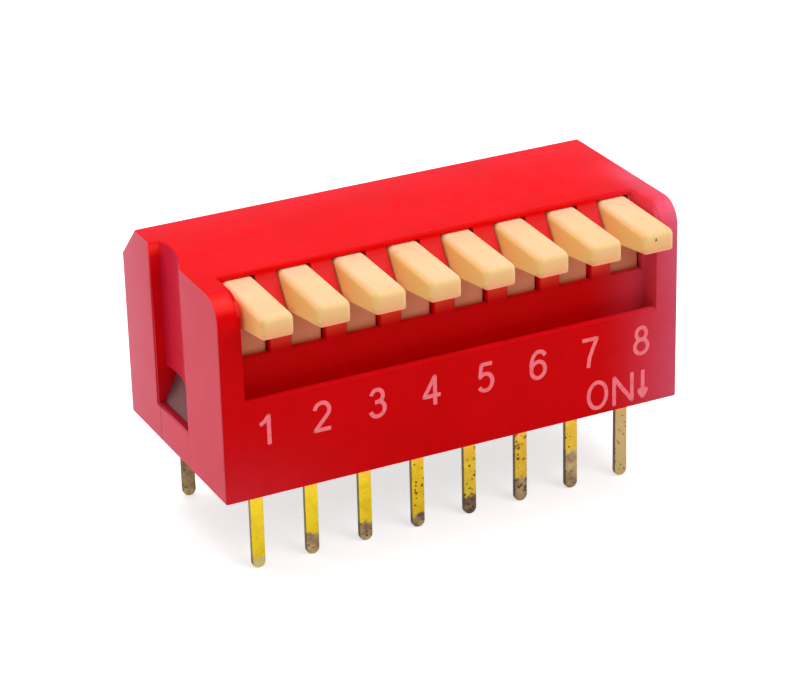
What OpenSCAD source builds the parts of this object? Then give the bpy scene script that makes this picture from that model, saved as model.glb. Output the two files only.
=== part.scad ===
// Piano-type DIP switch: a row of side levers in a red cover, each one bridging
// a pair of through-hole pins when its tip is pushed down.
// X runs along the row, -Y is the lever side, Z is up. The origin is on the
// seating plane, midway between the two rows of pins.

/* [Layout] */
// Number of switches in the row
positions = 8; // [2:1:12]
// Distance from one switch to the next
pitch = 2.54; // [2.54:0.01:2.6]
// Distance between the front and rear rows of pins
row_spacing = 7.62; // [7.6:0.01:7.64]

/* [Cover] */
// Cover length beyond the last pin at each end
end_margin = 1.96; // [1.9:0.01:2.2]
// Front face ahead of the midline
front_reach = 5.35; // [5.2:0.01:5.6]
// Back face behind the midline
back_reach = 5.05; // [4.9:0.01:5.4]
// Height of the cover above the seating plane
cover_h = 9.25; // [9.1:0.01:9.6]
// Thickness of the front, back and top walls
wall = 0.9; // [0.7:0.05:0.9]
// Thickness of the end walls below the levers
end_wall = 1.06; // [1:0.01:1.15]
// Slope cut off the top back edge
back_chamfer = 1.6; // [1.2:0.1:2]
// Radius of the end walls' top front corners
post_radius = 1.1; // [0.6:0.1:1.2]

/* [Lever window] */
// Height of the window's sill on the front face
sill_h = 4.67; // [4.4:0.01:4.9]
// Depth of the wall behind the sill
recess_depth = 1; // [0.95:0.01:1.02]
// Drop of the ledge from the sill to the recessed wall
ledge_drop = 0.6; // [0.3:0.05:0.8]
// Rounding of the sill's edge
sill_radius = 0.2; // [0.1:0.05:0.3]
// Width of a lever slot
slot_w = 1.58; // [1.56:0.01:1.64]
// Front edge of the top slab ahead of the midline
lip_reach = 3; // [2.8:0.05:3.2]
// Height of the top slab's front edge
lip_h = 0.28; // [0.26:0.01:0.4]
// Height where the ribs between the levers start to slope back
rib_slope_h = 7; // [6.8:0.1:7.4]

/* [Latch] */
// Depth of the groove in the left end wall
groove_depth = 0.6; // [0.4:0.05:0.7]
// Radius of the groove's curved floor
groove_radius = 5; // [4:0.5:6]
// Step at the back of the groove, behind the midline
groove_back = 1.9; // [1.6:0.1:2.2]
// Front edge of the latch window ahead of the midline
latch_front = 1.45; // [1.2:0.05:1.6]
// Bottom edge of the latch window
latch_h = 1.7; // [1.5:0.05:1.9]
// Top edge of the latch window
latch_top = 3.35; // [3.2:0.05:3.6]

/* [Lever] */
// Width of a lever
lever_w = 1.46; // [1.4:0.01:1.48]
// Reach of the lever tips beyond the front face
tip_reach = 1.74; // [1.4:0.01:2.2]
// Step from the cover's top down to the levers
lever_step = 0.25; // [0.2:0.01:0.25]
// Fall of a lever's top from the slab to its tip
tip_drop = 0.1; // [0:0.05:0.2]
// Thickness of the lever tips
tip_t = 0.95; // [0.9:0.01:1]
// Slope of a lever's underside, which makes it thicker towards its root, in degrees
under_slope = 9; // [8:0.5:10]
// Rounding of the tip's upper edge
tip_radius = 0.3; // [0.1:0.05:0.4]
// Rounding of the tip's lower edge
tip_low_radius = 0.15; // [0.05:0.01:0.2]
// Height of the pivots above the seating plane
pivot_h = 6.3; // [6.25:0.01:6.4]
// Travel from up (OFF) to down (ON), in degrees
travel = 19; // [18.5:0.5:20]
// Radius of the hub around the pivot
hub_r = 1.5; // [1.2:0.1:1.6]
// Radius of the curved face that closes the slot
shutter_r = 4.05; // [4:0.01:4.05]
// Radius of the trunnions
trunnion_r = 0.5; // [0.35:0.05:0.5]
// Length of each trunnion
trunnion_l = 0.28; // [0.2:0.01:0.3]

/* [Contacts] */
// Length of the pins below the seating plane
pin_l = 4.1; // [3:0.1:4.5]
// Width of the pins
pin_w = 0.6; // [0.5:0.01:0.64]
// Thickness of the terminal strip
strip_t = 0.25; // [0.2:0.01:0.26]
// Width of a terminal inside the base
blade_w = 1; // [0.7:0.05:1.1]
// Bend radius of the terminals, to the middle of the strip
bend_r = 0.3; // [0.2:0.05:0.4]
// Length of the flat pads where the moving contact lands
pad_l = 1.1; // [0.9:0.1:1.2]
// Thickness of the moving contact
spring_t = 0.1; // [0.08:0.01:0.12]
// Width of the moving contact
spring_w = 0.8; // [0.6:0.05:0.8]
// Radius of the moving contact's beads
bead_r = 0.2; // [0.15:0.01:0.22]

/* [Base] */
// Underside of the base above the seating plane
base_bottom = 0.35; // [0.3:0.05:0.5]
// Floor of the base under the front terminals
floor_h = 2.2; // [2.1:0.05:2.3]
// Underside of the sealing resin
seal_bottom = 0.1; // [0.05:0.05:0.2]

/* [Hidden] */
$fn = 64;
seat = 0.01;         // between parts that rest on each other
fit_gap = 0.03;      // between parts that are pushed together
run_gap = 0.02;      // radial, between a trunnion and its bearing
touch_gap = 0.02;    // between a bead and the pad that it wipes
stop_gap = 0.04;     // between a lowered lever and the edge of its slot
snap = 0.15;         // narrowing of a bearing's throat, which holds the trunnion
clear = 4;           // how far a cut runs past the surface that it opens

cover_l = pitch * (positions - 1) + 2 * end_margin;
row_y = row_spacing / 2;
inner_x = cover_l / 2 - end_wall;
inner_front = -front_reach + wall;
inner_back = back_reach - wall;
inner_top = cover_h - wall;
recess_y = -front_reach + recess_depth;

// The base's left latch shows in its window; the right one sits in a blind pocket
latch_l = groove_back + latch_front;
wedge_l = 0.75;      // reach of the left latch's wedge
catch_l = 0.5;       // reach of the right one's
tab_t = 0.23;
tab_room = 0.53;     // for the tab to bend when the base is pushed in
tab_rise = 0.1;      // tab above the wedge's top

// Side views are drawn as [y, z]; the lever turns about its pivot
pivot = [0, pivot_h];
lever_top = cover_h - lever_step;
tip = [-front_reach - tip_reach, lever_top - tip_drop];
lever_low = tip[1] - tip_t;
hub_top = pivot_h + hub_r;
lip_low = lever_top + fit_gap;

// The underside is a line at under_d from the pivot; lowered, it lands on its slot's edge
under_d = (lever_low - pivot_h) * cos(under_slope) + tip[0] * sin(under_slope);
landing = travel - under_slope;
slot_h = pivot_h + (under_d + recess_y * sin(landing)) / cos(landing) - stop_gap;
shutter_lap = 4;     // degrees that the shutter reaches below its slot
shutter_top = 90 - under_slope + acos(under_d / shutter_r);
shutter_low = 180 + asin((pivot_h - slot_h) / shutter_r) + shutter_lap;
leg_w = 0.9;
leg_r = 2.95;
leg_tilt = -travel / 2;
ear_w = 0.6;         // the contact's ears, folded up beside the leg
ear_h = 0.8;

// The beads wipe the tops of the pads, and the strips below them rest on the base
pad_r = pivot_h - floor_h - strip_t;
bead_path_r = pad_r - touch_gap;
ledge_r = pad_r + strip_t;
strip_r = pad_r + strip_t / 2;
rear_pad = polar(pivot, strip_r, travel - 90);
rear_slope = [cos(travel), sin(travel)];
rear_knee = rear_pad + rear_slope * pad_l / 2;
rear_toe = rear_pad - rear_slope * pad_l / 2;
rear_floor = rear_knee[1] - strip_t / 2;
pad_gap = 0.4;       // between the front terminals' ends and the rear ones
front_path = [[-row_y, base_bottom], [-row_y, floor_h + strip_t / 2],
    [rear_toe[0] - strip_t - pad_gap, floor_h + strip_t / 2]];
rear_path = [[row_y, base_bottom], [row_y, rear_knee[1]], rear_knee, rear_toe];

function station(i) = (i - (positions + 1) / 2) * pitch;
function polar(c, r, a) = [c[0] + r * cos(a), c[1] + r * sin(a)];
function arc(c, r, a0, a1, n = 8) = [for (i = [0:n]) polar(c, r, a0 + (a1 - a0) * i / n)];
function unit(v) = v / norm(v);
function left(v) = [-v[1], v[0]];
function turned(v, a) = [v[0] * cos(a) - v[1] * sin(a), v[0] * sin(a) + v[1] * cos(a)];

// Points along the middle of a bent strip, each with the strip's left-hand normal
function bent(path, r, n = 6) = [
    for (i = [0:len(path) - 1])
        let (
            d0 = unit(i > 0 ? path[i] - path[i - 1] : path[1] - path[0]),
            d1 = i < len(path) - 1 ? unit(path[i + 1] - path[i]) : d0,
            turn = atan2(cross(d0, d1), d0 * d1),
            side = sign(turn),
            centre = path[i] - d0 * r * tan(abs(turn) / 2) + left(d0) * side * r
        )
        for (s = side == 0 ? [0] : [0:n])
            let (normal = turned(left(d0), turn * s / n))
            side == 0 ? [path[i], normal] : [centre - normal * side * r, normal]
];

// The top of the base from back to front: rear floor, ramp and front floor
function base_top(gap, front, back) =
    let (
        ledge = polar(pivot, ledge_r, travel - 90),
        ramp = 1 / tan(travel)
    ) [
        [back, rear_floor + gap],
        [ledge[0] + (rear_floor - ledge[1]) * ramp, rear_floor + gap],
        [ledge[0] + (floor_h - ledge[1]) * ramp, floor_h + gap],
        [front, floor_h + gap]
    ];

// Gives a side view a width along X
module across(w) {
    rotate([90, 0, 90]) linear_extrude(w, center = true) children();
}

// A strip of metal bent along a path in the side view
module strip(path, t, r, w) {
    line = bent(path, r);
    across(w) polygon(concat(
        [for (p = line) p[0] + p[1] * t / 2],
        [for (i = [len(line) - 1:-1:0]) line[i][0] - line[i][1] * t / 2]
    ));
}

module at_each() {
    for (i = [1:positions]) translate([station(i), 0, 0]) children();
}

module both_ends() {
    children();
    mirror([1, 0, 0]) children();
}

/* Cover */

module cover_block() {
    corner = [-front_reach + post_radius, cover_h - post_radius];
    across(cover_l) polygon(concat(
        [[-front_reach, 0], [back_reach, 0], [back_reach, cover_h - back_chamfer]],
        [[back_reach - back_chamfer, cover_h]],
        arc(corner, post_radius, 90, 180, 12)
    ));
}

// Everything in front of the comb, between the end walls
module window_cut() {
    out = -front_reach - clear;
    fall = atan2(ledge_drop, recess_depth);
    edge = sill_radius * (1 + sin(fall)) / cos(fall);
    sill = [
        -front_reach + sill_radius,
        sill_h - edge * sin(fall) - sill_radius * cos(fall)
    ];
    across(2 * inner_x) polygon(concat(
        [[out, sill[1]]], arc(sill, sill_radius, 180, 90 - fall),
        [[recess_y, sill_h - ledge_drop], [recess_y, rib_slope_h]],
        [[-lip_reach, cover_h - lip_h], [-lip_reach, cover_h + clear], [out, cover_h + clear]]
    ));
}

// One lever's slot and the chamber behind it
module chamber_cut() {
    slant = back_reach - back_chamfer + cover_h - wall * sqrt(2);
    fall = (lever_top - hub_top) / lip_reach;
    across(slot_w) polygon([
        [-shutter_r - stop_gap, floor_h], [inner_back, floor_h],
        [inner_back, slant - inner_back], [slant - inner_top, inner_top],
        [-lip_reach + (lip_low - inner_top) / fall, inner_top], [-lip_reach, lip_low],
        [-lip_reach, cover_h + clear], [-front_reach - clear, cover_h + clear],
        [-front_reach - clear, slot_h], [-shutter_r - stop_gap, slot_h]
    ]);
}

// A pair of snap-in bearings, open below, in the ribs beside a chamber
module bearing_cut() {
    depth = slot_w + 2 * (trunnion_l + run_gap);
    throat = 2 * trunnion_r - snap;
    translate([0, 0, pivot_h]) rotate([0, 90, 0])
        cylinder(h = depth, r = trunnion_r + run_gap, center = true);
    translate([-depth / 2, -throat / 2, floor_h]) cube([depth, throat, pivot_h - floor_h]);
}

// The groove down the left end wall and the latch window at its foot
module latch_cut() {
    face = -cover_l / 2;
    groove_half = sqrt(groove_depth * (2 * groove_radius - groove_depth));
    intersection() {
        translate([face + groove_depth - groove_radius, groove_half - latch_front, latch_h])
            cylinder(h = cover_h, r = groove_radius);
        translate([face - clear, -front_reach, 0])
            cube([2 * clear, front_reach + groove_back, cover_h + clear]);
    }
    translate([face - clear, -latch_front, latch_h])
        cube([clear + end_wall + seat, latch_l, latch_top - latch_h]);
}

// Room for a latch's tab beside an end wall
module tab_pocket() {
    translate([-inner_x - seat, -latch_front, floor_h])
        cube([tab_room, latch_l, latch_top + 3 * tab_rise - floor_h]);
}

// The blind pocket in the right end wall
module catch_cut() {
    translate([inner_x - seat, -latch_front, latch_h])
        cube([catch_l + fit_gap, latch_l, latch_top - latch_h]);
}

module cover() {
    color("#d5121f")
    difference() {
        cover_block();
        window_cut();
        at_each() chamber_cut();
        at_each() bearing_cut();
        latch_cut();
        catch_cut();
        both_ends() tab_pocket();
        across(2 * inner_x) polygon(concat(
            [[inner_front, -clear], [inner_back, -clear]], base_top(seat, inner_front, inner_back)
        ));
    }
}

/* Base and resin */

// A springy tab with a wedge that catches over the lower edge of its opening
module latch(reach) {
    heel = [-inner_x + fit_gap, latch_h + seat];
    y0 = -latch_front + fit_gap;
    w = latch_l - 2 * fit_gap;
    translate([heel[0], y0, base_bottom]) cube([tab_t, w, latch_top + tab_rise - base_bottom]);
    translate([0, y0 + w, 0]) rotate([90, 0, 0]) linear_extrude(w)
        polygon([heel, [heel[0] - reach, heel[1]], [heel[0], latch_top - tab_rise]]);
}

// The slot that a terminal is pressed into from above
module terminal_slot(path) {
    strip(concat([path[0] - [0, clear]], [for (i = [1:len(path) - 1]) path[i]]),
        strip_t + 2 * seat, bend_r, blade_w + 2 * seat);
}

module base() {
    front = inner_front + fit_gap;
    back = inner_back - fit_gap;
    color("#3a3236") {
        difference() {
            across(2 * (inner_x - fit_gap)) polygon(concat(
                [[front, base_bottom], [back, base_bottom]], base_top(0, front, back)
            ));
            at_each() terminal_slot(front_path);
            at_each() terminal_slot(rear_path);
        }
        latch(wedge_l);
        mirror([1, 0, 0]) latch(catch_l);
    }
}

module bottom_seal() {
    x = inner_x - seat;
    front = inner_front + seat;
    hole = [pin_w + 2 * seat, strip_t + 2 * seat, clear];
    color("#26262a")
    difference() {
        translate([-x, front, seal_bottom])
            cube([2 * x, inner_back - seat - front, base_bottom - seal_bottom]);
        at_each() {
            translate([0, -row_y, 0]) cube(hole, center = true);
            translate([0, row_y, 0]) cube(hole, center = true);
        }
    }
}

/* Terminals */

// A pin with a round end, up to the underside of the base, and the strip above it
module terminal(path) {
    r = pin_w / 2;
    y = path[0][0];
    color("#d8b13c") {
        translate([-r, y - strip_t / 2, r - pin_l]) cube([pin_w, strip_t, pin_l - r + base_bottom]);
        translate([0, y, r - pin_l]) rotate([90, 0, 0]) cylinder(h = strip_t, r = r, center = true);
        strip(path, strip_t, bend_r, blade_w);
    }
}

module front_terminal(i) {
    translate([station(i), 0, 0]) terminal(front_path);
}

module rear_terminal(i) {
    translate([station(i), 0, 0]) terminal(rear_path);
}

/* Levers and their contacts */

module lever_side() {
    r = tip_radius;
    low = tip_low_radius;
    rise = low * (1 - sin(under_slope)) / cos(under_slope);
    polygon(concat(
        arc(tip + [r, -r], r, 90, 180),
        arc([tip[0] + low, lever_low + rise], low, 180, 270 - under_slope),
        arc(pivot, shutter_r, shutter_top, shutter_low),
        [pivot, [0, hub_top], [-lip_reach, lever_top]]
    ));
}

module lever(i) {
    color("#f6d7a4") translate([station(i), 0, 0]) {
        across(lever_w) lever_side();
        translate([0, 0, pivot_h]) {
            rotate([0, 90, 0]) cylinder(h = lever_w, r = hub_r, center = true);
            rotate([0, 90, 0])
                cylinder(h = lever_w + 2 * trunnion_l, r = trunnion_r, center = true);
            rotate([leg_tilt, 0, 0]) translate([-spring_w / 2, -leg_w / 2, -leg_r])
                cube([spring_w, leg_w, leg_r]);
        }
    }
}

// Bridges the two pads of a switch; it is clipped over the end of the lever's leg
module moving_contact(i) {
    bead = polar([0, 0], bead_path_r - bead_r, travel / 2 - 90);
    sole = -leg_r - spring_t / 2;
    corner = leg_w / 2 - spring_t;
    ear = [spring_t, ear_w, ear_h];
    color("#e3c04e") translate([station(i), 0, pivot_h]) rotate([leg_tilt, 0, 0]) {
        strip([[-bead[0], bead[1]], [-corner, sole], [corner, sole], bead],
            spring_t, spring_t, spring_w);
        for (side = [-1, 1]) {
            translate([0, side * bead[0], bead[1]]) rotate([0, 90, 0])
                cylinder(h = spring_w, r = bead_r, center = true);
            translate([side * (spring_w + spring_t) / 2, 0, -leg_r - spring_t + ear[2] / 2])
                cube(ear, center = true);
        }
    }
}

cover();
base();
bottom_seal();
for (i = [1:positions]) {
    lever(i);
    moving_contact(i);
    front_terminal(i);
    rear_terminal(i);
}
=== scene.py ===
import math
import bmesh
import bpy
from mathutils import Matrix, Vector


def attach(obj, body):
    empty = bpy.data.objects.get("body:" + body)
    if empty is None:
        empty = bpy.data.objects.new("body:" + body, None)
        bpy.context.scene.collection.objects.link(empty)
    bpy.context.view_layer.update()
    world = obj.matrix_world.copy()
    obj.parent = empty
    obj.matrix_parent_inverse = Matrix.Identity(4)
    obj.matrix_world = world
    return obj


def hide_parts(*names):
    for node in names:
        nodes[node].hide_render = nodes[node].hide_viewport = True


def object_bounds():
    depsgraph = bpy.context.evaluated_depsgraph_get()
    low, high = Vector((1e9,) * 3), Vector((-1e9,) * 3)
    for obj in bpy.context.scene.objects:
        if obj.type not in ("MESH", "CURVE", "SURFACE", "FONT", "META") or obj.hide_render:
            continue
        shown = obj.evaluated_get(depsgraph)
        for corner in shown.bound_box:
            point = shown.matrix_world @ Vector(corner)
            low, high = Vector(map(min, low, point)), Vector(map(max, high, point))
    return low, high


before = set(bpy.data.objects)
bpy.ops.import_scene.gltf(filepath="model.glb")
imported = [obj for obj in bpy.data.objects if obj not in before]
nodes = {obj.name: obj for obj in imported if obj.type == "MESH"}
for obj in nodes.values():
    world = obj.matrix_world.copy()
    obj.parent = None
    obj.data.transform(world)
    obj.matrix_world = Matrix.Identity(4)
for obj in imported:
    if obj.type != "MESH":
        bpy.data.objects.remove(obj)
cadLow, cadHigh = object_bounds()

mm = 0.001
scene = bpy.context.scene


def lowest(name, axis):
    # where a node begins along an axis, in mm
    return min(getattr(vert.co, axis) for vert in nodes[name].data.vertices) / mm


positions = sum(name.startswith("lever_") for name in nodes)
pitch = lowest("front_terminal_2", "x") - lowest("front_terminal_1", "x")
print("frame loaded:", len(nodes), "nodes,", positions, "positions")


# small helpers

def put(tree, kind, inputs=None, **settings):
    # adds a node, sets its options, then fills or links its inputs
    node = tree.nodes.new(kind)
    for key, value in settings.items():
        setattr(node, key, value)
    for key, value in (inputs or {}).items():
        if isinstance(value, bpy.types.NodeSocket):
            tree.links.new(value, node.inputs[key])
        else:
            node.inputs[key].default_value = value
    return node


def newTree(name, inputs):
    # a Geometry Nodes tree with named inputs; returns it with its group input
    tree = bpy.data.node_groups.new(name, "GeometryNodeTree")
    face = tree.interface
    face.new_socket("Geometry", in_out="INPUT", socket_type="NodeSocketGeometry")
    for label, (kind, value) in inputs.items():
        socket = face.new_socket(label, in_out="INPUT", socket_type="NodeSocket" + kind)
        if value is not None:
            socket.default_value = value
    face.new_socket("Geometry", in_out="OUTPUT", socket_type="NodeSocketGeometry")
    return tree, tree.nodes.new("NodeGroupInput")


def closeTree(tree, geometry, material):
    # every tree ends the same way, so the result is one plain mesh
    real = put(tree, "GeometryNodeRealizeInstances", {"Geometry": geometry})
    paint = put(tree, "GeometryNodeSetMaterial",
                {"Geometry": real.outputs[0], "Material": material})
    put(tree, "NodeGroupOutput", {"Geometry": paint.outputs[0]})


def addModifierTree(thing, tree, values):
    modifier = thing.modifiers.new(tree.name, "NODES")
    modifier.node_group = tree
    for item in tree.interface.items_tree:
        if item.item_type == "SOCKET" and item.in_out == "INPUT" and item.name in values:
            modifier[item.identifier] = values[item.name]


def bakeTree(seed, tree, values, name):
    # runs the tree on the seed and keeps the result as a plain mesh
    addModifierTree(seed, tree, values)
    graph = bpy.context.evaluated_depsgraph_get()
    mesh = bpy.data.meshes.new_from_object(seed.evaluated_get(graph))
    mesh.name = name
    piece = bpy.data.objects.new(name, mesh)
    scene.collection.objects.link(piece)
    bpy.data.objects.remove(seed)
    return piece


def seedPoints(name, points):
    mesh = bpy.data.meshes.new(name)
    mesh.from_pydata(points, [], [])
    thing = bpy.data.objects.new(name, mesh)
    scene.collection.objects.link(thing)
    return thing


def seedCurve(name, strokes):
    # one poly spline for each stroke; a tilt marks an end that meets another stroke
    curve = bpy.data.curves.new(name, "CURVE")
    curve.dimensions = "3D"
    for points, closed, joined in strokes:
        spline = curve.splines.new("POLY")
        spline.points.add(len(points) - 1)
        for point, place in zip(spline.points, points):
            point.co = (*place, 1)
        spline.points[0].tilt, spline.points[-1].tilt = joined
        spline.use_cyclic_u = closed
    thing = bpy.data.objects.new(name, curve)
    scene.collection.objects.link(thing)
    return thing


def newMaterial(name):
    material = bpy.data.materials.new(name)
    material.use_nodes = True
    tree = material.node_tree
    return material, tree, tree.nodes["Principled BSDF"]


def setShader(shader, **values):
    for key, value in values.items():
        shader.inputs[key.replace("_", " ")].default_value = value


def noise(tree, where, scale, detail=3.0, roughness=0.55):
    return put(tree, "ShaderNodeTexNoise", {"Vector": where, "Scale": scale,
               "Detail": detail, "Roughness": roughness}).outputs["Fac"]


def remap(tree, value, low, high, toLow=0.0, toHigh=1.0):
    return put(tree, "ShaderNodeMapRange", {"Value": value, "From Min": low,
               "From Max": high, "To Min": toLow, "To Max": toHigh}).outputs[0]


def blendColour(tree, factor, first, second):
    node = put(tree, "ShaderNodeMix", data_type="RGBA")
    for socket, value in ((node.inputs[0], factor), (node.inputs[6], first), (node.inputs[7], second)):
        if isinstance(value, bpy.types.NodeSocket):
            tree.links.new(value, socket)
        else:
            socket.default_value = value
    return node.outputs[2]


def maths(tree, operation, first, second=0.0):
    node = put(tree, "ShaderNodeMath", operation=operation)
    for socket, value in zip(node.inputs, (first, second)):
        if isinstance(value, bpy.types.NodeSocket):
            tree.links.new(value, socket)
        else:
            socket.default_value = value
    return node.outputs[0]


def objectPlace(tree):
    return put(tree, "ShaderNodeTexCoord").outputs["Object"]


def bumpFrom(tree, height, distance, strength=1.0, under=None):
    inputs = {"Height": height, "Distance": distance, "Strength": strength}
    if under is not None:
        inputs["Normal"] = under
    return put(tree, "ShaderNodeBump", inputs).outputs["Normal"]


# tones laid on by place and facing

# a fade is an axis, where it starts and where it is full, and the strengths there if not 0 and 1;
# x, y and z are in mm, reach is the distance from the middle, and a facing is part of the normal

def measure(tree, where):
    place = put(tree, "ShaderNodeVectorMath", {0: where, "Scale": 1 / mm}, operation="SCALE").outputs[0]
    normal = put(tree, "ShaderNodeTexCoord").outputs["Normal"]
    x, y, z = put(tree, "ShaderNodeSeparateXYZ", {"Vector": place}).outputs
    faceX, faceY, faceZ = put(tree, "ShaderNodeSeparateXYZ", {"Vector": normal}).outputs
    return {"x": x, "y": y, "z": z, "reach": maths(tree, "ABSOLUTE", x),
            "faceX": faceX, "faceY": faceY, "faceZ": faceZ,
            "faceSide": maths(tree, "ABSOLUTE", faceX), "faceLevel": maths(tree, "ABSOLUTE", faceZ)}


def fadeOn(tree, axes, fade):
    axis, *limits = fade
    return remap(tree, axes[axis], *limits)


def inArea(tree, axes, fades):
    # how far a place lies in the area that all the fades bound
    whole = fadeOn(tree, axes, fades[0])
    for fade in fades[1:]:
        whole = maths(tree, "MULTIPLY", whole, fadeOn(tree, axes, fade))
    return whole


def inBand(tree, value, centre, half, soft):
    # 1 within half of the centre, falling to 0 over soft
    away = maths(tree, "ABSOLUTE", maths(tree, "SUBTRACT", value, centre))
    return remap(tree, away, half + soft, half)


def layAreas(tree, axes, colour, areas, mottle=None):
    # each area's tint over the colour so far, mottled where it has a bright tint too
    for area in areas:
        tint = area["tint"]
        if "bright" in area:
            tint = blendColour(tree, mottle, tint, area["bright"])
        colour = blendColour(tree, inArea(tree, axes, area["fades"]), colour, tint)
    return colour


# materials

noiseSpan = (0.3, 0.7)   # nearly all of a noise lies between these values

frontFace = ("faceY", -0.6, -0.95)
behindFront = (frontFace, ("y", -5.25, -5.05), ("reach", 10.05, 9.95))
coverLook = {
    "deep": (0.66, 0.0015, 0.0035, 1), "bright": (0.78, 0.0025, 0.008, 1), "mottle": (0.36, 0.62),
    # noises: scale and detail; bumps: depth and strength
    "cloud": (260, 4), "flow": (1500, 5), "grain": (21000, 2), "cloudShare": 0.65,
    "waveBump": (0.012 * mm, 0.5), "seamBump": (-0.02 * mm, 0.7), "grainBump": (0.0016 * mm, 0.6),
    "rough": (0.40, 0.54), "shine": 0.03,
    # the ends get a painted pale sheen, a reflection of light grazing them
    "endSheen": (0.72, 0.158, 0.225, 1), "sheenMottle": (0.30, 0.60, 0.75, 1.0),
    "endSheenFades": (("reach", 10.20, 10.84, 0, 0.75), ("faceSide", 0.55, 0.88)),
    "endSheenAlong": (("y", -5, 4, 0.50, 1.0), ("y", 0, 4.8, 0.75, 1.22)),
    "areas": (
        # painted shade deep in the latch groove, painted light on the step beside it, and painted shade
        # on the sill of its window
        {"tint": (0.60, 0.009, 0.034, 1),
         "fades": (("reach", 10.82, 10.35), ("reach", 10.15, 10.22), ("faceX", -0.3, -0.6))},
        {"tint": (0.97, 0.026, 0.066, 1),
         "fades": (("faceY", -0.6, -0.9), ("x", -10.1, -10.2), ("y", 1.7, 1.8))},
        {"tint": (0.40, 0.012, 0.028, 1),
         "fades": (("faceZ", 0.7, 0.95), ("z", 3.5, 3.4), ("x", -10.0, -10.1))},
        # the front face, in painted shade: darker and deeper red than the top
        {"tint": (0.640, 0.0002, 0.0006, 1), "bright": (0.710, 0.0005, 0.0020, 1),
         "fades": ((*frontFace, 0, 0.9),)},
        # behind it: painted shade on the deep wall under the levers, and painted warm bounce on the
        # ribs' feet
        {"tint": (0.56, 0.0003, 0.001, 1), "fades": (*behindFront, ("z", 7.2, 6.6, 0, 0.85))},
        {"tint": (0.80, 0.050, 0.022, 1), "fades": (*behindFront, ("z", 6.1, 6.6, 0, 0.9))},
        # painted light on the inner sides of the end posts, the edge of the lip, and the thin sloped
        # ribs;
        # the posts and ribs glow as if light came through them
        {"tint": (1.0, 0.012, 0.020, 1),
         "fades": (("faceSide", 0.75, 0.95), ("reach", 9.70, 9.73), ("reach", 9.88, 9.85),
                   ("z", 7.3, 8.3))},
        {"tint": (0.97, 0.0015, 0.002, 1), "fades": (*behindFront, ("z", 8.7, 8.8))},
        {"tint": (0.96, 0.040, 0.048, 1),
         "fades": (("faceY", -0.15, -0.35), ("faceZ", 0.15, 0.35), ("z", 6.9, 7.2),
                   ("z", 9.0, 8.9), ("reach", 10.0, 9.8))},
    ),
    # a painted pale sheen, as reflected light, at the right, low at the left, and at the back of the top
    "sheen": (0.70, 0.125, 0.210, 1),
    "sheenRight": (("x", 6.6, 10.9, 0, 0.86), ("faceX", 0.8, 0.5), ("faceY", 0.4, 0.1, 0.45, 1.0),
                  ("z", 4.5, 7.5, 1.0, 1.15)),
    "sheenLeft": (("x", -2.5, -10.6, 0, 0.40), ("z", 3.6, 0.2, 0.2, 1.0), frontFace),
    "sheenBack": (("y", -0.4, 3.6, 0, 0.36), ("faceZ", 0.6, 0.9)),
    # the right sheen is weaker on the top, but for its front corner
    "onTop": ("z", 8.9, 9.24), "topCorner": (("x", 9.3, 10.3), ("y", 0.8, -1.6)),
    "topLoss": 0.62, "cornerLoss": 0.15,
    # a painted highlight on the left post's crest, and painted light on both posts' round shoulders
    "crestHighlight": {"tint": (1.0, 0.038, 0.033, 1),
              "fades": (("z", 9.24, 9.02), ("z", 8.55, 8.95, 0, 0.75), ("faceY", -0.05, -0.3),
                        ("x", -9.95, -10.05))},
    "shoulder": (("faceY", 0, -0.5), ("z", 7.5, 9.1), ("reach", 9.95, 10.05)), "shoulderHighlight": 0.38,
    # witness lines of the tool's slide, below the latch window: place on y and strength
    "seam": (0.22, 0.001, 0.006, 1), "seamLines": ((1.60, 0.6), (-1.45, 0.2)),
    "seamWidth": 0.035, "seamSoft": 0.02, "seamTop": 1.7, "seamFace": -10.7,
}


# the painted sheen on the ends, stronger towards the back
def paintedEndSheen(tree, axes, look):
    first, second = (fadeOn(tree, axes, fade) for fade in look["endSheenAlong"])
    return maths(tree, "MULTIPLY", inArea(tree, axes, look["endSheenFades"]),
                 maths(tree, "MAXIMUM", first, second))


# the painted sheen at the right, low at the left and at the back of the top, squared
def paintedSheen(tree, axes, look):
    corner = inArea(tree, axes, look["topCorner"])
    loss = maths(tree, "MULTIPLY", fadeOn(tree, axes, look["onTop"]),
                 remap(tree, corner, 0, 1, look["topLoss"], look["cornerLoss"]))
    right = maths(tree, "MULTIPLY", inArea(tree, axes, look["sheenRight"]),
                  maths(tree, "SUBTRACT", 1.0, loss))
    left, back = (inArea(tree, axes, look[part]) for part in ("sheenLeft", "sheenBack"))
    sheen = maths(tree, "MAXIMUM", maths(tree, "MAXIMUM", left, right), back)
    return maths(tree, "MULTIPLY", sheen, sheen)


def witnessLines(tree, axes, look):
    seam = 0.0
    for place, strength in look["seamLines"]:
        line = inBand(tree, axes["y"], place, look["seamWidth"] / 2, look["seamSoft"])
        seam = maths(tree, "MAXIMUM", maths(tree, "MULTIPLY", line, strength), seam)
    onEnd = maths(tree, "LESS_THAN", axes["x"], look["seamFace"])
    under = maths(tree, "LESS_THAN", axes["z"], look["seamTop"])
    return maths(tree, "MULTIPLY", seam, maths(tree, "MULTIPLY", onEnd, under))


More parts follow.
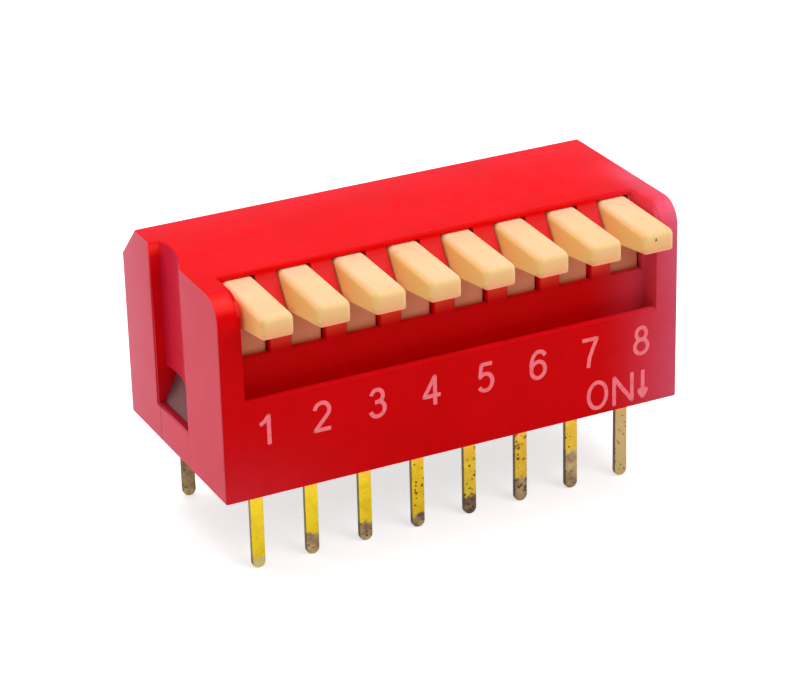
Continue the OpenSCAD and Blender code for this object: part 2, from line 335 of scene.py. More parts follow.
def coverPlastic(look):
    material, tree, shader = newMaterial("coverPlastic")
    where = objectPlace(tree)
    axes = measure(tree, where)
    cloud = noise(tree, where, *look["cloud"])
    flow = noise(tree, where, *look["flow"])
    grain = noise(tree, where, *look["grain"])
    tone = maths(tree, "ADD", maths(tree, "MULTIPLY", cloud, look["cloudShare"]),
                 maths(tree, "MULTIPLY", flow, 1 - look["cloudShare"]))
    mottle = remap(tree, tone, *look["mottle"])
    sheenMottle = remap(tree, tone, *look["sheenMottle"])
    colour = blendColour(tree, mottle, look["deep"], look["bright"])
    # painted sheen on the ends, mottled
    endSheen = maths(tree, "MULTIPLY", paintedEndSheen(tree, axes, look), sheenMottle)
    colour = blendColour(tree, endSheen, colour, look["endSheen"])
    colour = layAreas(tree, axes, colour, look["areas"], mottle)
    # painted sheen at the right, low at the left and at the back of the top
    sheen = maths(tree, "MULTIPLY", paintedSheen(tree, axes, look), sheenMottle)
    colour = blendColour(tree, sheen, colour, look["sheen"])
    # painted highlight on the left post's crest, then painted light on both shoulders
    colour = layAreas(tree, axes, colour, [look["crestHighlight"]])
    highlightGain = remap(tree, inArea(tree, axes, look["shoulder"]), 0, 1, 1, 1 + look["shoulderHighlight"])
    colour = put(tree, "ShaderNodeVectorMath", {0: colour, "Scale": highlightGain}, operation="SCALE").outputs[0]
    seam = witnessLines(tree, axes, look)
    tree.links.new(blendColour(tree, seam, colour, look["seam"]), shader.inputs["Base Color"])
    tree.links.new(remap(tree, flow, *noiseSpan, *look["rough"]), shader.inputs["Roughness"])
    wave = bumpFrom(tree, cloud, *look["waveBump"])
    groove = bumpFrom(tree, seam, *look["seamBump"], wave)
    tree.links.new(bumpFrom(tree, grain, *look["grainBump"], groove), shader.inputs["Normal"])
    setShader(shader, Specular_IOR_Level=look["shine"])
    return material


leverLook = {
    "pale": (0.90, 0.535, 0.295, 1), "warm": (0.88, 0.500, 0.250, 1), "mottle": (0.36, 0.64),
    # upright faces in painted light: the flanks warmed by painted red bounce, more beside the left post,
    # and the tip's front painted lighter high and darker low
    "flank": (1.0, 0.70, 0.260, 1), "beside": (1.0, 0.50, 0.170, 1), "besideFade": ("x", -9.3, -9.6),
    "tip": (1.0, 0.69, 0.330, 1), "tipLow": (1.0, 0.52, 0.213, 1), "tipFade": ("z", 8.85, 8.15),
    "flankFade": ("faceSide", 0.3, 0.85),
    "upright": (("faceY", -0.30, -0.85, 0, 0.95), ("faceLevel", 0.75, 0.15, 0, 0.95)),
    "areas": (
        # painted red reflection on the tip's thin lower edge
        {"tint": (1.0, 0.43, 0.24, 1),
         "fades": (("z", 8.20, 8.10, 0, 0.9), ("y", -6.7, -6.95), ("faceZ", 0.5, 0.2))},
        # painted red light thrown from the lip onto the back of the top
        {"tint": (0.90, 0.40, 0.27, 1), "fades": (("y", -4.9, -3.2, 0, 0.45), ("faceZ", 0.7, 0.95))},
        # painted shade and red bounce on the root, down in its slot
        {"tint": (0.66, 0.235, 0.120, 1), "fades": (("z", 7.95, 7.45), ("y", -5.0, -4.3))},
    ),
    "cloud": (420, 4), "grain": (16000, 2), "grainBump": (0.0016 * mm, 0.5),
    "rough": (0.42, 0.56), "shine": 0.2,
    "glow": 0.6, "glowDepth": 0.6 * mm, "glowReach": (1.0, 0.55, 0.25),
    # a burnt fleck in one lever's tip: its place, size and ragged edge
    "mark": (0.10, 0.06, 0.05, 1), "speck": (8.70, -7.09, 8.56), "speckSize": 0.075,
    "speckCore": 0.6, "speckRagged": 0.03, "speckStrength": 0.9,
}


# painted red bounce on the flanks, and painted light high and shade low on the tip's front
def paintedUprightLight(tree, axes, look):
    flank = blendColour(tree, fadeOn(tree, axes, look["besideFade"]), look["flank"], look["beside"])
    tip = blendColour(tree, fadeOn(tree, axes, look["tipFade"]), look["tip"], look["tipLow"])
    return blendColour(tree, fadeOn(tree, axes, look["flankFade"]), tip, flank)


def burntSpeck(tree, where, grain, look):
    away = put(tree, "ShaderNodeVectorMath", {0: where, 1: Vector(look["speck"]) * mm},
               operation="DISTANCE").outputs["Value"]
    edge, size = look["speckRagged"] * mm, look["speckSize"] * mm
    ragged = maths(tree, "ADD", away, remap(tree, grain, *noiseSpan, -edge, edge))
    return remap(tree, ragged, size, size * look["speckCore"], 0, look["speckStrength"])


def leverPlastic(look):
    material, tree, shader = newMaterial("leverPlastic")
    where = objectPlace(tree)
    axes = measure(tree, where)
    cloud = noise(tree, where, *look["cloud"])
    grain = noise(tree, where, *look["grain"])
    colour = blendColour(tree, remap(tree, cloud, *look["mottle"]), look["warm"], look["pale"])
    # painted light on the upright faces
    front, level = (fadeOn(tree, axes, fade) for fade in look["upright"])
    upright = maths(tree, "MAXIMUM", front, level)
    colour = blendColour(tree, upright, colour, paintedUprightLight(tree, axes, look))
    colour = layAreas(tree, axes, colour, look["areas"])
    speck = burntSpeck(tree, where, grain, look)
    tree.links.new(blendColour(tree, speck, colour, look["mark"]), shader.inputs["Base Color"])
    tree.links.new(remap(tree, cloud, *noiseSpan, *look["rough"]), shader.inputs["Roughness"])
    tree.links.new(bumpFrom(tree, grain, *look["grainBump"]), shader.inputs["Normal"])
    setShader(shader, Specular_IOR_Level=look["shine"], Subsurface_Weight=look["glow"],
              Subsurface_Scale=look["glowDepth"], Subsurface_Radius=look["glowReach"])
    return material


pinLook = {
    "gold": (0.68, 0.520, 0.022, 1), "ochre": (0.54, 0.33, 0.014, 1), "reflectedRed": (0.95, 0.40, 0.10, 1),
    "beige": (0.55, 0.40, 0.17, 1), "pit": (0.055, 0.028, 0.008, 1), "sheared": (0.08, 0.053, 0.024, 1),
    # tarnish, from thin to thick
    "tarnish": ((0.0, (0.80, 0.66, 0.24, 1)), (0.42, (0.50, 0.35, 0.17, 1)),
                (0.9, (0.15, 0.085, 0.045, 1))),
    "patch": (1900, 4), "grain": (9000, 3), "pitBump": (-0.02 * mm, 0.6), "grainBump": (0.004 * mm, 0.5),
    # pits lie in clumps, have ragged edges, and reach less far into tarnish than into worn gold
    "pitScale": 4200, "pitSize": 0.34, "pitRagged": (-0.12, 0.12), "pitEdge": (-0.03, 0.06),
    "clump": (1100, 1), "clumpSpan": (0.36, 0.52), "pitStrength": 0.85, "tarnishPits": 0.7,
    # each pin of a row, first to last: where its tarnish begins, in mm, how thick it is, how
    # worn and pitted the gold above it is, and how much of the gold has gone pale
    "tarnishLine": (-3.55, -3.05, -3.15, -3.45, -3.20, -2.95, -2.20, -4.80), "fullLine": -5,
    "thickness": (0.02, 0.40, 0.45, 0.72, 1.0, 0.68, 0.50, 0.0),
    "worn": (0.15, 0.10, 0.30, 0.75, 0.85, 1.0, 0.70, 0.55),
    "faded": (0.0, 0.0, 0.0, 0.0, 0.10, 0.10, 0.10, 0.90),
    # the tarnish ends in a ragged line, over which it fades in
    "lineNoise": (2600, 4), "lineSpan": (0.2, 0.8), "ragged": 0.30, "lineFade": (-0.06, 0.10),
    # the rear row's higher, thicker tarnish is painted shade as well as tarnish: that row stands behind
    # the body
    "rearShadeRise": 1.6, "rearShadeThicker": 0.38,   # the rear row's tarnish stands higher and is thicker
    # how the patches of a pin change its wear and the thickness of its tarnish
    "patchWear": (0.35, 0.65, -0.35, 0.35), "patchThick": (0.34, 0.66, -0.30, 0.30), "ochreFull": 1.1,
    # painted reflection of the red body just under it: start and full height in mm, most, raggedness
    "reflectionFrom": -1.30, "reflectionFull": -0.75, "reflectionMost": 0.62, "reflectionRagged": 0.4,
    "punched": (0.75, 0.35, 0, 0.85),
    # from clean gold to full tarnish, and what fading and grain add
    "metal": (1.0, 0.25), "rough": (0.28, 0.60), "fadedLoss": 0.7, "roughGrain": (-0.06, 0.08),
}


def perPin(tree, x, look):
    # a stepped ramp along the row gives each pin its own values, its line as a share of fullLine
    along = maths(tree, "ADD", maths(tree, "DIVIDE", x, pitch * mm * positions), 0.5)
    ramp = put(tree, "ShaderNodeValToRGB", {"Fac": along})
    ramp.color_ramp.interpolation = "CONSTANT"
    stops = ramp.color_ramp.elements
    stops.remove(stops[1])
    rows = zip(look["tarnishLine"], look["worn"], look["faded"], look["thickness"])
    for i, (line, worn, faded, thick) in enumerate(rows):
        stop = stops[0] if i == 0 else stops.new(i / positions)
        stop.color = (line / look["fullLine"], worn, faded, thick)
    line, worn, faded = put(tree, "ShaderNodeSeparateColor", {"Color": ramp.outputs["Color"]}).outputs
    return maths(tree, "MULTIPLY", line, look["fullLine"] * mm), worn, faded, ramp.outputs["Alpha"]


def pinPits(tree, where, grain, wear, look):
    # small pits in clumps, wider where the pin is more worn
    cells = put(tree, "ShaderNodeTexVoronoi", {"Vector": where, "Scale": look["pitScale"],
                "Randomness": 1.0}, feature="F1")
    hollow = maths(tree, "ADD", cells.outputs["Distance"],
                   remap(tree, grain, *noiseSpan, *look["pitRagged"]))
    inside = maths(tree, "SUBTRACT", maths(tree, "MULTIPLY", wear, look["pitSize"]), hollow)
    clumps = remap(tree, noise(tree, where, *look["clump"]), *look["clumpSpan"])
    return maths(tree, "MULTIPLY", remap(tree, inside, *look["pitEdge"]), clumps)


def cleanGold(tree, z, patch, ragged, worn, faded, look):
    # gold that goes ochre with wear and pale where it has faded, with a painted
    # reflection of the red body just under it
    thin = maths(tree, "ADD", remap(tree, patch, *look["patchWear"]), worn)
    clean = blendColour(tree, remap(tree, thin, 0, look["ochreFull"]), look["gold"], look["ochre"])
    clean = blendColour(tree, faded, clean, look["beige"])
    redReflection = remap(tree, maths(tree, "ADD", z, maths(tree, "MULTIPLY", ragged, look["reflectionRagged"])),
                   look["reflectionFrom"] * mm, look["reflectionFull"] * mm, 0, look["reflectionMost"])
    return blendColour(tree, maths(tree, "MULTIPLY", redReflection, redReflection), clean, look["reflectedRed"])


def tarnishLayer(tree, thick, patch, look):
    layer = put(tree, "ShaderNodeValToRGB",
                {"Fac": maths(tree, "ADD", thick, remap(tree, patch, *look["patchThick"]))})
    stops = layer.color_ramp.elements
    for i, (place, tint) in enumerate(look["tarnish"]):
        stop = stops[i] if i < 2 else stops.new(place)
        stop.position, stop.color = place, tint
    return layer.outputs["Color"]


def pinGold(look):
    material, tree, shader = newMaterial("pinGold")
    coords = put(tree, "ShaderNodeTexCoord")
    where = coords.outputs["Object"]
    x, y, z = put(tree, "ShaderNodeSeparateXYZ", {"Vector": where}).outputs
    patch = noise(tree, where, *look["patch"])
    grain = noise(tree, where, *look["grain"])
    lineHeight, worn, faded, thick = perPin(tree, x, look)
    # heavier tarnish on the rear row, as painted shade
    rear = maths(tree, "GREATER_THAN", y, 0.0)
    lineHeight = maths(tree, "ADD", lineHeight, maths(tree, "MULTIPLY", rear, look["rearShadeRise"] * mm))
    thick = maths(tree, "ADD", thick, maths(tree, "MULTIPLY", rear, look["rearShadeThicker"]))
    ragged = remap(tree, noise(tree, where, *look["lineNoise"]), *look["lineSpan"],
                   -look["ragged"] * mm, look["ragged"] * mm)
    below = maths(tree, "SUBTRACT", maths(tree, "ADD", lineHeight, ragged), z)
    start, full = look["lineFade"]
    tarnish = remap(tree, below, start * mm, full * mm)
    wear = maths(tree, "MAXIMUM", worn, maths(tree, "MULTIPLY", tarnish, look["tarnishPits"]))
    pit = pinPits(tree, where, grain, wear, look)
    clean = cleanGold(tree, z, patch, ragged, worn, faded, look)
    colour = blendColour(tree, tarnish, clean, tarnishLayer(tree, thick, patch, look))
    # the punched edges are darker and browner
    facing = put(tree, "ShaderNodeSeparateXYZ", {"Vector": coords.outputs["Normal"]})
    punched = remap(tree, maths(tree, "ABSOLUTE", facing.outputs["Y"]), *look["punched"])
    colour = blendColour(tree, punched, colour, look["sheared"])
    colour = blendColour(tree, maths(tree, "MULTIPLY", pit, look["pitStrength"]), colour, look["pit"])
    tree.links.new(colour, shader.inputs["Base Color"])
    lost = maths(tree, "MAXIMUM", tarnish, maths(tree, "MULTIPLY", faded, look["fadedLoss"]))
    tree.links.new(remap(tree, lost, 0, 1, *look["metal"]), shader.inputs["Metallic"])
    rough = maths(tree, "ADD", remap(tree, lost, 0, 1, *look["rough"]),
                  remap(tree, grain, *noiseSpan, *look["roughGrain"]))
    tree.links.new(rough, shader.inputs["Roughness"])
    dent = bumpFrom(tree, pit, *look["pitBump"])
    tree.links.new(bumpFrom(tree, grain, *look["grainBump"], dent), shader.inputs["Normal"])
    return material


contactLook = {
    "alloy": (0.83, 0.60, 0.22, 1), "shade": (0.66, 0.44, 0.14, 1), "mottle": (0.35, 0.65),
    # brushed along y
    "brush": (7000, 4), "brushAlong": (1.0, 0.12, 1.0), "brushBump": (0.002 * mm, 0.5),
    "patch": (1200, 3), "rough": (0.22, 0.38),
}


def contactAlloy(look):
    material, tree, shader = newMaterial("contactAlloy")
    where = objectPlace(tree)
    stretch = put(tree, "ShaderNodeMapping", {"Vector": where, "Scale": look["brushAlong"]})
    brush = noise(tree, stretch.outputs[0], *look["brush"])
    patch = noise(tree, where, *look["patch"])
    tree.links.new(blendColour(tree, remap(tree, patch, *look["mottle"]), look["alloy"], look["shade"]),
                   shader.inputs["Base Color"])
    tree.links.new(remap(tree, brush, *noiseSpan, *look["rough"]), shader.inputs["Roughness"])
    tree.links.new(bumpFrom(tree, brush, *look["brushBump"]), shader.inputs["Normal"])
    setShader(shader, Metallic=1.0)
    return material


baseLook = {
    "dark": (0.125, 0.041, 0.044, 1), "light": (0.195, 0.067, 0.071, 1), "mottle": (0.35, 0.65),
    "cloud": (700, 4), "grain": (18000, 2), "grainBump": (0.003 * mm, 0.6),
    "rough": (0.50, 0.66), "shine": 0.25,
}


def baseMoulding(look):
    material, tree, shader = newMaterial("baseMoulding")
    where = objectPlace(tree)
    cloud = noise(tree, where, *look["cloud"])
    grain = noise(tree, where, *look["grain"])
    tree.links.new(blendColour(tree, remap(tree, cloud, *look["mottle"]), look["dark"], look["light"]),
                   shader.inputs["Base Color"])
    tree.links.new(remap(tree, cloud, *noiseSpan, *look["rough"]), shader.inputs["Roughness"])
    tree.links.new(bumpFrom(tree, grain, *look["grainBump"]), shader.inputs["Normal"])
    setShader(shader, Specular_IOR_Level=look["shine"])
    return material


resinLook = {
    "clear": (0.012, 0.012, 0.014, 1), "cloudy": (0.035, 0.033, 0.036, 1), "mottle": (0.35, 0.65),
    "swirl": (420, 2, 0.4), "fine": (2300, 3), "bubbleScale": 2300, "pinhole": (0.10, 0.04),
    "waveBump": (0.05 * mm, 0.8), "pinholeBump": (-0.02 * mm, 0.8),
    "rough": (0.16, 0.34), "shine": 0.5, "coat": 0.3,
}


def sealResin(look):
    material, tree, shader = newMaterial("sealResin")
    where = objectPlace(tree)
    swirl = noise(tree, where, *look["swirl"])
    fine = noise(tree, where, *look["fine"])
    bubbles = put(tree, "ShaderNodeTexVoronoi", {"Vector": where, "Scale": look["bubbleScale"]},
                  feature="F1").outputs["Distance"]
    pinhole = remap(tree, bubbles, *look["pinhole"])
    tree.links.new(blendColour(tree, remap(tree, swirl, *look["mottle"]), look["clear"], look["cloudy"]),
                   shader.inputs["Base Color"])
    tree.links.new(remap(tree, fine, *noiseSpan, *look["rough"]), shader.inputs["Roughness"])
    wave = bumpFrom(tree, swirl, *look["waveBump"])
    tree.links.new(bumpFrom(tree, pinhole, *look["pinholeBump"], wave), shader.inputs["Normal"])
    setShader(shader, Specular_IOR_Level=look["shine"], Coat_Weight=look["coat"])
    return material


inkLook = {
    "full": (1.0, 0.215, 0.250, 1), "thin": (1.0, 0.14, 0.17, 1),
    "wear": (5200, 4), "film": (1300, 2), "wearShare": 0.55, "mottle": (0.38, 0.52),
    "wearBump": (0.004 * mm, 0.5), "rough": (0.45, 0.65), "shine": 0.25,
}


def legendInk(look):
    material, tree, shader = newMaterial("legendInk")
    where = objectPlace(tree)
    wear = noise(tree, where, *look["wear"])
    film = noise(tree, where, *look["film"])
    cover = maths(tree, "ADD", maths(tree, "MULTIPLY", wear, look["wearShare"]),
                  maths(tree, "MULTIPLY", film, 1 - look["wearShare"]))
    tree.links.new(blendColour(tree, remap(tree, cover, *look["mottle"]), look["thin"], look["full"]),
                   shader.inputs["Base Color"])
    tree.links.new(remap(tree, wear, *noiseSpan, *look["rough"]), shader.inputs["Roughness"])
    tree.links.new(bumpFrom(tree, wear, *look["wearBump"]), shader.inputs["Normal"])
    setShader(shader, Specular_IOR_Level=look["shine"])
    return material


plasticRed = coverPlastic(coverLook)
plasticCream = leverPlastic(leverLook)
gold = pinGold(pinLook)
alloy = contactAlloy(contactLook)
blackPlastic = baseMoulding(baseLook)
resin = sealResin(resinLook)
ink = legendInk(inkLook)
print("materials made")


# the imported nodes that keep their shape: finish and slightly broken edges

breakLook = {
    "base": {"finish": blackPlastic, "edge": 0.03, "steps": 1},
    "bottom_seal": {"finish": resin, "edge": 0.03, "steps": 2},
    "moving_contact": {"finish": alloy, "edge": 0.015, "steps": 1},
    "front_terminal": {"finish": gold, "edge": 0.035, "steps": 2},
    "rear_terminal": {"finish": gold, "edge": 0.035, "steps": 2},
}
weldReach = 1e-6
flatAngle = math.radians(0.3)
edgeAngle = math.radians(32)


def addBevel(thing, look, limit):
    bevel = thing.modifiers.new("softEdge", "BEVEL")
    bevel.width = look["edge"] * mm
    bevel.segments = look["steps"]
    bevel.limit_method = limit
    bevel.angle_limit = edgeAngle
    bevel.harden_normals = True
    bevel.use_clamp_overlap = False


def breakEdges(node, look):
    weld = node.modifiers.new("weld", "WELD")
    weld.merge_threshold = weldReach
    join = node.modifiers.new("joinFlats", "DECIMATE")
    join.decimate_type = "DISSOLVE"
    join.angle_limit = flatAngle
    addBevel(node, look, "ANGLE")
    for slot in node.material_slots:
        slot.material = look["finish"]


for name, node in nodes.items():
    kind = name.rstrip("0123456789").rstrip("_")
    if kind in breakLook:
        breakEdges(node, breakLook[kind])
print("edges broken")


# cover and levers: moulded pieces with rounded outer edges

shellLook = {
    "finish": plasticRed, "edge": 0.09, "steps": 3,
    # edges well inside the cover stay sharp: half width, front, back, bottom and top of that core
    "core": (10.0, -4.2, 4.6, 0.02, 9.2),
}
stickLook = {
    "finish": plasticCream, "edge": 0.27, "steps": 4,
    # the tip's lower corner on y and z, and how far round it points are gathered in
    "corner": (lowest("lever_1", "y"), 7.95), "gather": 0.145,
    # the underside's edges have a share of the round, and none is made out of sight
    "fullAbove": 8.2, "thin": 0.48, "hiddenBehind": -2.9,
}


def coverRound(place, look):
    side, front, back, bottom, top = look["core"]
    inside = abs(place.x) < side and front < place.y < back and bottom < place.z < top
    return 0.0 if inside else 1.0


def stickRound(place, look):
    if place.y > look["hiddenBehind"]:
        return 0.0
    return 1.0 if place.z > look["fullAbove"] else look["thin"]


def gatherCorner(work, look):
    # the points round the tip's lower corner become one edge, which can be rounded as a whole
    for vert in work.verts:
        corner = Vector((vert.co.x, look["corner"][0] * mm, look["corner"][1] * mm))
        if (vert.co - corner).length < look["gather"] * mm:
            vert.co = corner
    bmesh.ops.remove_doubles(work, verts=work.verts, dist=weldReach)


def roundedCopy(nodeName, name, look, shareAt):
    # a merged copy of the node, each outward edge rounded by its own share of the full width
    mesh = nodes[nodeName].data.copy()
    mesh.name = name
    work = bmesh.new()
    work.from_mesh(mesh)
    bmesh.ops.remove_doubles(work, verts=work.verts, dist=weldReach)
    bmesh.ops.dissolve_limit(work, angle_limit=flatAngle, verts=work.verts, edges=work.edges)
    if "corner" in look:
        gatherCorner(work, look)
    share = work.edges.layers.float.new("bevel_weight_edge")
    for edge in work.edges:
        if edge.is_manifold and edge.is_convex and edge.calc_face_angle() > edgeAngle:
            middle = (edge.verts[0].co + edge.verts[1].co) / (2 * mm)
            edge[share] = shareAt(middle, look)
    work.to_mesh(mesh)
    work.free()
    piece = bpy.data.objects.new(name, mesh)
    scene.collection.objects.link(piece)
    addBevel(piece, look, "WEIGHT")
    mesh.materials.clear()
    mesh.materials.append(look["finish"])
    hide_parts(nodeName)
    return piece


def shadeCurves(piece):
    # the cover's curved walls are shaded as one, and its flat faces stay flat
    piece.data.shade_smooth()
    piece.data.set_sharp_from_angle(angle=edgeAngle)
    even = piece.modifiers.new("evenNormals", "WEIGHTED_NORMAL")
    even.keep_sharp = True


shell = roundedCopy("cover", "coverShell", shellLook, coverRound)
shadeCurves(shell)
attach(shell, "housing")
for i in range(1, positions + 1):
    stick = roundedCopy(f"lever_{i}", f"leverStick_{i}", stickLook, stickRound)
    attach(stick, f"lever_{i}")
print("cover and levers rounded")


# printed legend on the front face

legendLook = {
    "face": lowest("cover", "y"),
    "capHeight": 1.24,         # between the middles of a sign's top and bottom strokes
    "stroke": 0.19, "film": 0.014, "wobble": 0.012, "wobbleScale": 3000, "step": 0.04, "seed": 4,
    "penSides": 12, "capRings": 8,
    "digitLow": 2.48, "digitPitch": 2.565, "digitShift": 0.07,
    "wordLow": 0.34, "word": (("O", 6.86), ("N", 8.145), ("arrow", 9.14)),
}


def bow(centre, radii, start, end, count=18):
    # part of an ellipse, angles in degrees
    turns = [math.radians(start + (end - start) * i / count) for i in range(count + 1)]
    return [(centre[0] + radii[0] * math.cos(a), centre[1] + radii[1] * math.sin(a)) for a in turns]


# each sign is a list of strokes in units of its height, around x = 0
bowl5 = bow((0, 0.32), (0.27, 0.32), 140, -150)
foot, head = -0.075, 1.075   # where an upright stroke is cut off
signs = {
    "1": [[(-0.21, 0.70), (-0.04, 0.80), (0.11, 0.99)], [(0.11, 0.99), (0.11, foot)]],
    "2": [bow((0, 0.72), (0.27, 0.28), 172, -35) + [(-0.27, 0.0)], [(-0.27, 0.0), (0.31, 0.0)]],
    "3": [bow((-0.01, 0.76), (0.22, 0.24), 168, -75), bow((0, 0.28), (0.27, 0.28), 90, -165),
          [(-0.09, 0.54), (0.05, 0.54)]],
    "4": [[(0.12, foot), (0.12, 1.0)], [(0.12, 1.0), (-0.30, 0.28)], [(-0.30, 0.28), (0.33, 0.28)]],
    "5": [[(0.26, 1.0), (-0.15, 1.0)], [(-0.15, 1.0), bowl5[0]], bowl5],
    "6": [bow((0.04, 0.50), (0.31, 0.50), 40, 190), bow((0, 0.31), (0.27, 0.31), 0, 360, 30)],
    "7": [[(-0.31, 1.0), (0.27, 1.0)], [(0.27, 1.0), (0.10, 0.62), (-0.02, 0.30), (-0.07, foot)]],
    "8": [bow((0, 0.765), (0.20, 0.235), 0, 360, 30), bow((0, 0.27), (0.26, 0.27), 0, 360, 30)],
    "O": [bow((0, 0.5), (0.36, 0.5), 0, 360, 40)],
    "N": [[(-0.36, foot), (-0.36, 1.0)], [(-0.36, 1.0), (0.36, 0.0)], [(0.36, 0.0), (0.36, head)]],
    "arrow": [[(0, head), (0, 0.05)], [(-0.16, 0.30), (0, 0.02)], [(0.16, 0.30), (0, 0.02)],
              [(-0.16, 0.30), (0.16, 0.30)], [(0, 0.32), (0, 0.10)]],
}


def inkLineTree(look):
    # a thin film of ink along every stroke, cut off square, and round where two strokes meet
    tree, given = newTree("inkLine", {
        "Stroke": ("Float", 0.0001), "Film": ("Float", 0.00001), "Face": ("Float", 0.0),
        "Step": ("Float", 0.0001), "Wobble": ("Float", 0.0), "Seed": ("Float", 0.0),
        "Material": ("Material", None)})
    half = maths(tree, "MULTIPLY", given.outputs["Stroke"], 0.5)
    line = put(tree, "GeometryNodeResampleCurve", {"Curve": given.outputs["Geometry"],
               "Length": given.outputs["Step"]}, mode="LENGTH").outputs[0]
    rough = put(tree, "ShaderNodeTexNoise", {"W": given.outputs["Seed"], "Detail": 1.0,
                "Scale": look["wobbleScale"]}, noise_dimensions="4D")
    shift = put(tree, "ShaderNodeVectorMath", {0: rough.outputs["Color"], 1: (-0.5, -0.5, -0.5)},
                operation="ADD").outputs[0]
    shift = put(tree, "ShaderNodeVectorMath", {0: shift, "Scale": given.outputs["Wobble"]},
                operation="SCALE").outputs[0]
    line = put(tree, "GeometryNodeSetPosition", {"Geometry": line, "Offset": shift}).outputs[0]
    ring = put(tree, "GeometryNodeCurvePrimitiveCircle", {"Resolution": look["penSides"],
               "Radius": half}).outputs[0]
    body = put(tree, "GeometryNodeCurveToMesh", {"Curve": line, "Profile Curve": ring,
               "Fill Caps": True}).outputs[0]
    ends = put(tree, "GeometryNodeCurveEndpointSelection").outputs[0]
    marked = maths(tree, "GREATER_THAN", put(tree, "GeometryNodeInputCurveTilt").outputs[0], 0.5)
    ends = put(tree, "FunctionNodeBooleanMath", {0: ends, 1: marked}, operation="AND").outputs[0]
    dots = put(tree, "GeometryNodeMeshUVSphere", {"Segments": look["penSides"],
               "Rings": look["capRings"], "Radius": half}).outputs[0]
    caps = put(tree, "GeometryNodeInstanceOnPoints", {"Points": line, "Selection": ends,
               "Instance": dots}).outputs[0]
    both = put(tree, "GeometryNodeJoinGeometry")
    for part in (body, caps):
        tree.links.new(part, both.inputs[0])
    thin = maths(tree, "DIVIDE", given.outputs["Film"], given.outputs["Stroke"])
    squeeze = put(tree, "ShaderNodeCombineXYZ", {"X": 1.0, "Y": thin, "Z": 1.0}).outputs[0]
    place = put(tree, "ShaderNodeCombineXYZ", {"Y": given.outputs["Face"]}).outputs[0]
    real = put(tree, "GeometryNodeRealizeInstances", {"Geometry": both.outputs[0]}).outputs[0]
    flat = put(tree, "GeometryNodeTransform", {"Geometry": real, "Translation": place,
               "Scale": squeeze}).outputs[0]
    smooth = put(tree, "GeometryNodeSetShadeSmooth", {"Geometry": flat}).outputs[0]
    closeTree(tree, smooth, given.outputs["Material"])
    return tree


def placeSign(sign, x, low, look):
    # a stroke's end is joined where another stroke of the sign ends at the same place
    size = look["capHeight"]
    ends = [[tuple(round(c, 4) for c in stroke[k]) for k in (0, -1)] for stroke in signs[sign]]
    every = sum(ends, [])
    strokes = []
    for stroke, (first, last) in zip(signs[sign], ends):
        joined = [float(every.count(end) > 1) for end in (first, last)]
        places = [((x + px * size) * mm, 0, (low + pz * size) * mm) for px, pz in stroke]
        closed = first == last
        strokes.append((places[:-1] if closed else places, closed, joined))
    return strokes


def printLegend(look):
    strokes = []
    for i in range(positions):
        x = look["digitShift"] + (i - (positions - 1) / 2) * look["digitPitch"]
        strokes += placeSign(str(i + 1), x, look["digitLow"], look)
    for sign, x in look["word"]:
        strokes += placeSign(sign, x, look["wordLow"], look)
    legend = bakeTree(seedCurve("legendStrokes", strokes), inkLineTree(look), {
        "Stroke": look["stroke"] * mm, "Film": look["film"] * mm, "Face": look["face"] * mm,
        "Step": look["step"] * mm, "Wobble": look["wobble"] * mm, "Seed": float(look["seed"]),
        "Material": ink}, "legend")
    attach(legend, "housing")


printLegend(legendLook)
print("legend printed")


# resin drawn up round the pins on the underside

resinRingLook = {
    "level": lowest("bottom_seal", "z"), "rows": (-3.81, 3.81),
    "foot": 0.46, "neck": 0.30, "height": 0.09, "sunk": 0.02, "sag": 0.55,
    "facets": 28, "bands": 6, "smallest": (0.92, 0.72, 0.95), "largest": (1.12, 0.92, 1.0), "seed": 11,
}


def resinRingTree(look):
    tree, given = newTree("resinRing", {
        "Foot": ("Float", 0.0005), "Neck": ("Float", 0.0003), "Height": ("Float", 0.0001),
        "Seed": ("Int", 0), "Material": ("Material", None)})
    cone = put(tree, "GeometryNodeMeshCone", {"Vertices": look["facets"],
               "Side Segments": look["bands"], "Radius Top": given.outputs["Foot"],
               "Radius Bottom": given.outputs["Neck"], "Depth": given.outputs["Height"]}).outputs[0]
    # the side sags in, so the ring runs out thin over the resin
    spot = put(tree, "GeometryNodeInputPosition").outputs[0]
    height = put(tree, "ShaderNodeSeparateXYZ", {"Vector": spot}).outputs["Z"]
    rise = maths(tree, "DIVIDE", height, given.outputs["Height"])
    sag = maths(tree, "MULTIPLY", rise, maths(tree, "SUBTRACT", 1.0, rise))
    pull = maths(tree, "SUBTRACT", 1.0, maths(tree, "MULTIPLY", sag, look["sag"]))
    inward = put(tree, "ShaderNodeCombineXYZ", {"X": pull, "Y": pull, "Z": 1.0}).outputs[0]
    bent = put(tree, "ShaderNodeVectorMath", {0: spot, 1: inward}, operation="MULTIPLY").outputs[0]
    shaped = put(tree, "GeometryNodeSetPosition", {"Geometry": cone, "Position": bent}).outputs[0]
    smooth = put(tree, "GeometryNodeSetShadeSmooth", {"Geometry": shaped}).outputs[0]
    size = put(tree, "FunctionNodeRandomValue", {"Min": look["smallest"], "Max": look["largest"],
               "Seed": given.outputs["Seed"]}, data_type="FLOAT_VECTOR").outputs[0]
    spread = put(tree, "GeometryNodeInstanceOnPoints", {"Points": given.outputs["Geometry"],
                 "Instance": smooth, "Scale": size}).outputs[0]
    closeTree(tree, spread, given.outputs["Material"])
    return tree


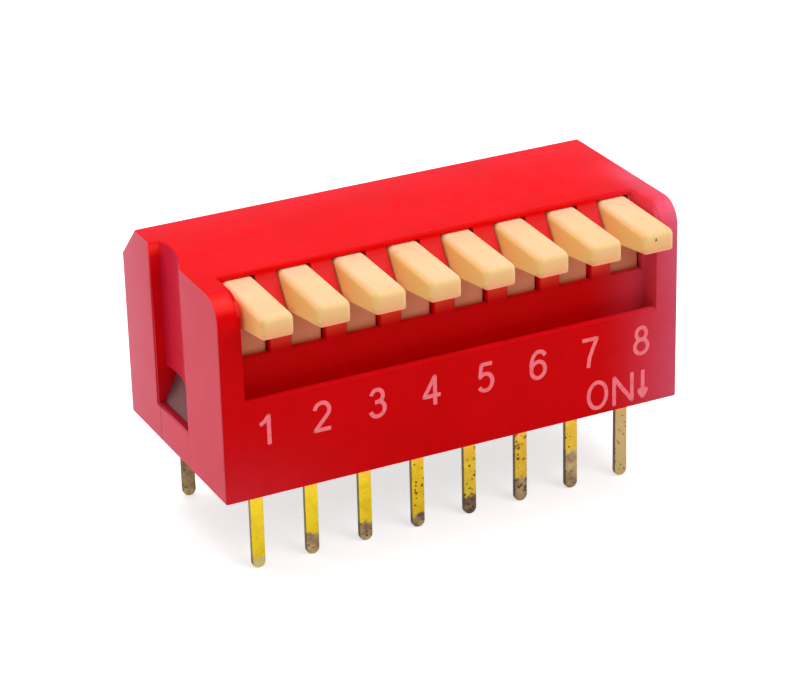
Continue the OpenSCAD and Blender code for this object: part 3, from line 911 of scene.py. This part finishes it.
def drawResinRings(look):
    z = look["level"] - look["height"] + look["sunk"]
    spots = [((i - (positions - 1) / 2) * pitch * mm, y * mm, z * mm)
             for y in look["rows"] for i in range(positions)]
    rings = bakeTree(seedPoints("pinPlaces", spots), resinRingTree(look), {
        "Foot": look["foot"] * mm, "Neck": look["neck"] * mm, "Height": look["height"] * mm,
        "Seed": look["seed"], "Material": resin}, "resinRings")
    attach(rings, "housing")


drawResinRings(resinRingLook)
print("resin rings drawn")


# camera

cameraLook = {
    "azimuth": -0.45125, "elevation": 0.43263, "roll": -0.02566,
    "distance": 135.382 * mm, "target": Vector((-0.0665, 0, 2.6700)) * mm, "lens": 138.60,
    "clip": (0.005, 10),
}


def makeCamera(look):
    az, el, roll = look["azimuth"], look["elevation"], look["roll"]
    back = Vector((math.sin(az) * math.cos(el), -math.cos(az) * math.cos(el), math.sin(el)))
    right = (-back).cross(Vector((0, 0, 1))).normalized()
    up = right.cross(-back)
    rolledRight = right * math.cos(roll) + up * math.sin(roll)
    rolledUp = up * math.cos(roll) - right * math.sin(roll)
    data = bpy.data.cameras.new("camera")
    data.lens = look["lens"]
    data.clip_start, data.clip_end = look["clip"]
    camera = bpy.data.objects.new("camera", data)
    turn = camera.matrix_world.copy()
    for row in range(3):
        turn[row][0], turn[row][1], turn[row][2] = rolledRight[row], rolledUp[row], back[row]
        turn[row][3] = (look["target"] + back * look["distance"])[row]
    camera.matrix_world = turn
    scene.collection.objects.link(camera)
    scene.camera = camera


makeCamera(cameraLook)


# light and floor

studio = {
    "worldLight": 0.44,
    "floorSize": 1.2, "floorTone": (0.80, 0.80, 0.80, 1), "floorLift": 0.62,
    "floorRough": 0.9, "floorShine": 0.1, "white": (1, 1, 1, 1),
    "aim": (0, 0, 3),
    "lamps": {
        "overhead": {"place": (0, 40, 150), "size": (150, 120), "power": 0.20},
        "leftRear": {"place": (-150, 110, 35), "size": (90, 60), "power": 0.06},
        "frontHigh": {"place": (60, -120, 125), "size": (100, 80), "power": 0.075},
    },
}


def showsBackground(tree):
    # rays that see the backdrop itself, not its light
    path = put(tree, "ShaderNodeLightPath")
    seen = maths(tree, "MAXIMUM", path.outputs["Is Camera Ray"], path.outputs["Is Glossy Ray"])
    return maths(tree, "MAXIMUM", seen, path.outputs["Is Transmission Ray"])


def makeWorld(look):
    world = bpy.data.worlds.new("studioWorld")
    world.use_nodes = True
    scene.world = world
    tree = world.node_tree
    background = tree.nodes["Background"]
    background.inputs["Color"].default_value = look["white"]
    tree.links.new(remap(tree, showsBackground(tree), 0, 1, look["worldLight"], 1.0),
                   background.inputs["Strength"])


def makeFloor(look):
    half = look["floorSize"] / 2
    mesh = bpy.data.meshes.new("floor")
    low = cadLow.z
    mesh.from_pydata([(-half, -half, low), (half, -half, low), (half, half, low), (-half, half, low)],
                     [], [(0, 1, 2, 3)])
    floor = bpy.data.objects.new("floor", mesh)
    scene.collection.objects.link(floor)
    material, tree, shader = newMaterial("floorPaper")
    setShader(shader, Base_Color=look["floorTone"], Roughness=look["floorRough"],
              Specular_IOR_Level=look["floorShine"], Emission_Color=look["white"])
    tree.links.new(remap(tree, showsBackground(tree), 0, 1, 0.0, look["floorLift"]),
                   shader.inputs["Emission Strength"])
    mesh.materials.append(material)


def hangLamps(look):
    for name, lamp in look["lamps"].items():
        data = bpy.data.lights.new(name, "AREA")
        data.shape = "RECTANGLE"
        data.size, data.size_y = (side * mm for side in lamp["size"])
        data.energy = lamp["power"]
        light = bpy.data.objects.new(name, data)
        light.location = Vector(lamp["place"]) * mm
        aim = Vector(look["aim"]) * mm - light.location
        light.rotation_euler = aim.to_track_quat("-Z", "Y").to_euler()
        scene.collection.objects.link(light)


makeWorld(studio)
makeFloor(studio)
hangLamps(studio)
scene.view_settings.view_transform = "Standard"
print("studio set")
